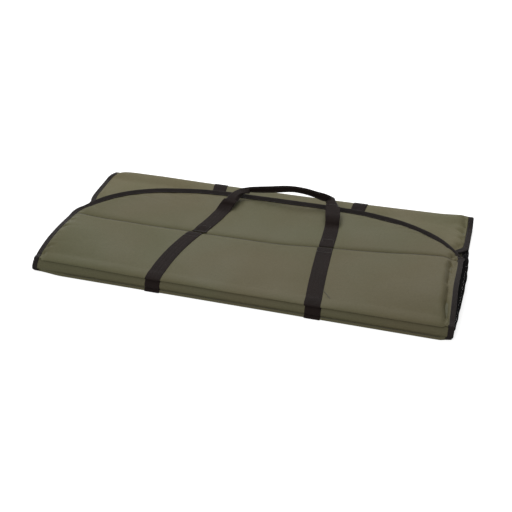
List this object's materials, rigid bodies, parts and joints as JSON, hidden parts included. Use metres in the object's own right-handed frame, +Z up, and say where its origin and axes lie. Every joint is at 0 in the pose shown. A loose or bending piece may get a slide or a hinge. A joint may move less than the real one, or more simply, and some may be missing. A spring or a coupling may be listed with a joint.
{
  "type": "unhooking mat",
  "caption": "Folded padded fishing mat with bound edges, net gussets at its ends, webbing straps and an arched carry grip; its wings fold out flat to lay a fish on.",
  "frame": {"origin": "middle of the folded mat's footprint, on the surface that it lies on", "axes": "+X along the mat, from its left end to its right end as seen from the front; +Y from the front fold to the back fold; +Z up"},
  "size_m": [1.0548, 0.48, 0.0814],
  "materials": {
    "outer_nylon": "coated woven nylon, olive khaki, soft sheen",
    "lining": "smooth coated cloth, olive",
    "foam": "open-cell foam sheet, off-white",
    "binding_tape": "woven black binding tape",
    "webbing": "woven black webbing",
    "net": "black knotted mesh"
  },
  "bodies": {
    "base": {"base_outer_skin": "outer_nylon", "base_foam": "foam", "base_lining": "lining", "base_binding_left": "binding_tape", "base_binding_right": "binding_tape", "net_gusset_left": "net", "net_gusset_right": "net", "under_strap_left": "webbing", "under_strap_right": "webbing"},
    "front_spine": {"front_spine_skin": "outer_nylon", "front_spine_foam": "foam", "front_spine_lining": "lining", "front_spine_binding_left": "binding_tape", "front_spine_binding_right": "binding_tape", "front_spine_strap_left": "webbing", "front_spine_strap_right": "webbing"},
    "front_near": {"near_wing_skin": "outer_nylon", "near_wing_foam": "foam", "near_wing_lining": "lining", "near_wing_binding_left": "binding_tape", "near_wing_binding_right": "binding_tape", "near_wing_strap_left": "webbing", "near_wing_strap_right": "webbing"},
    "front_far": {"far_wing_skin": "outer_nylon", "far_wing_foam": "foam", "far_wing_lining": "lining", "far_wing_binding": "binding_tape"},
    "front_handle": {"handle_leg_left": "webbing", "handle_leg_right": "webbing", "handle_grip": "webbing"},
    "back_spine": {"back_spine_skin": "outer_nylon", "back_spine_foam": "foam", "back_spine_lining": "lining", "back_spine_binding_left": "binding_tape", "back_spine_binding_right": "binding_tape", "back_spine_strap_left": "webbing", "back_spine_strap_right": "webbing"},
    "back_wing": {"back_wing_skin": "outer_nylon", "back_wing_foam": "foam", "back_wing_lining": "lining", "back_wing_binding": "binding_tape", "back_wing_strap_left": "webbing", "back_wing_strap_right": "webbing", "tucked_leg_left": "webbing", "tucked_leg_right": "webbing", "tucked_grip": "webbing"}
  },
  "joints": [
    {"name": "front_spine_fold", "type": "hinge", "parent": "base", "child": "front_spine", "pos_m": [0, -0.24, 0.005], "axis": [1, 0, 0], "range_deg": [0, 90]},
    {"name": "front_wing_fold", "type": "hinge", "parent": "front_spine", "child": "front_near", "pos_m": [0, -0.24, 0.0288], "axis": [1, 0, 0], "range_deg": [0, 90]},
    {"name": "front_crease_fold", "type": "hinge", "parent": "front_near", "child": "front_far", "pos_m": [0, -0.007, 0.0271], "axis": [1, 0, 0], "range_deg": [0, 60]},
    {"name": "front_handle_swing", "type": "hinge", "parent": "front_far", "child": "front_handle", "pos_m": [0, -0.007, 0.0271], "axis": [1, 0, 0], "range_deg": [0, 90]},
    {"name": "back_spine_fold", "type": "hinge", "parent": "base", "child": "back_spine", "pos_m": [0, 0.24, 0.003], "axis": [-1, 0, 0], "range_deg": [0, 90]},
    {"name": "back_wing_fold", "type": "hinge", "parent": "back_spine", "child": "back_wing", "pos_m": [0, 0.24, 0.0179], "axis": [-1, 0, 0], "range_deg": [0, 90]}
  ],
  "couplings": [
    {"joint": "front_wing_fold", "follows": "front_spine_fold", "ratio": 1},
    {"joint": "back_spine_fold", "follows": "front_spine_fold", "ratio": 1},
    {"joint": "back_wing_fold", "follows": "front_spine_fold", "ratio": 1}
  ]
}
